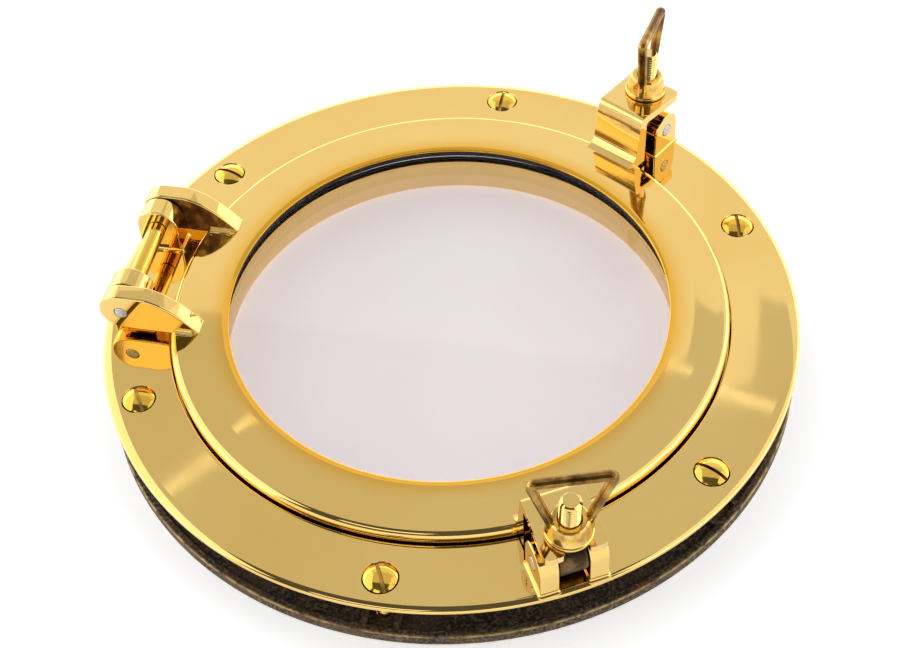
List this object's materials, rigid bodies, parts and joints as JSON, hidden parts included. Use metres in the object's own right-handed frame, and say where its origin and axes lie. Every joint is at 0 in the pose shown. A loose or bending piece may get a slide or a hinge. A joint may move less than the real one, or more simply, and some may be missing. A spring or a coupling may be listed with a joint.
{
  "type": "opening porthole",
  "caption": "Round opening porthole: a flanged frame and clamp ring for the hull, a hinged glazed ring, and swing-bolt dogs with loop wing nuts.",
  "frame": {"origin": "on the glass's axis, at the level of the clamp ring's outboard face, which the part lies on", "axes": "+Z from the outboard side towards the cabin, -X towards the hinge, Y along the hinge pin"},
  "size_m": [0.28, 0.28, 0.085],
  "materials": {
    "polished_brass": "mirror polished, lightly scratched",
    "rough_cast_brass": "dark, rough sand casting",
    "cast_loop_brass": "cast, browned, worn bright on the edges",
    "stainless_pin": "cut pin ends",
    "black_rubber": "matt",
    "clear_glass": "clear, smooth"
  },
  "bodies": {
    "frame": {"main_frame": "polished_brass", "rear_clamp_ring": "rough_cast_brass", "flange_screw_1": "polished_brass", "flange_screw_2": "polished_brass", "flange_screw_3": "polished_brass", "flange_screw_4": "polished_brass", "flange_screw_5": "polished_brass", "flange_screw_6": "polished_brass", "hinge_spacer_tube": "polished_brass", "dog_1_pivot_pin": "stainless_pin", "dog_2_pivot_pin": "stainless_pin"},
    "ring": {"opening_ring": "polished_brass", "glass_gasket": "black_rubber", "glass_pane": "clear_glass", "glass_bedding_ring": "black_rubber", "glass_retaining_ring": "polished_brass", "main_seal": "black_rubber", "hinge_pin": "stainless_pin"},
    "dog_1": {"dog_1_swing_bolt": "polished_brass"},
    "dog_1_nut": {"dog_1_wing_nut": "cast_loop_brass"},
    "dog_2": {"dog_2_swing_bolt": "polished_brass"},
    "dog_2_nut": {"dog_2_wing_nut": "cast_loop_brass"}
  },
  "joints": [
    {"name": "ring_open", "type": "hinge", "parent": "frame", "child": "ring", "pos_m": [-0.1265, 0, 0.0366], "axis": [0, -1, 0], "range_deg": [0, 180]},
    {"name": "dog_1_swing", "type": "hinge", "parent": "frame", "child": "dog_1", "pos_m": [0.0651, 0.11368, 0.0346], "axis": [-0.8678, 0.497, 0], "range_deg": [0, 85]},
    {"name": "dog_1_nut_back_off", "type": "slide", "parent": "dog_1", "child": "dog_1_nut", "axis": [0.0373, 0.0651, 0.9972], "range_m": [0, 0.0102]},
    {"name": "dog_2_swing", "type": "hinge", "parent": "frame", "child": "dog_2", "pos_m": [0.06451, -0.11402, 0.0346], "axis": [0.8704, 0.4924, 0], "range_deg": [0, 85]},
    {"name": "dog_2_nut_back_off", "type": "slide", "parent": "dog_2", "child": "dog_2_nut", "axis": [0.0369, -0.0653, 0.9972], "range_m": [0, 0.0102]}
  ],
  "couplings": [
    {"joint": "dog_1_nut_back_off", "follows": "dog_1_swing", "m_per_rad": 0.0068},
    {"joint": "dog_2_nut_back_off", "follows": "dog_2_swing", "m_per_rad": 0.0068}
  ]
}
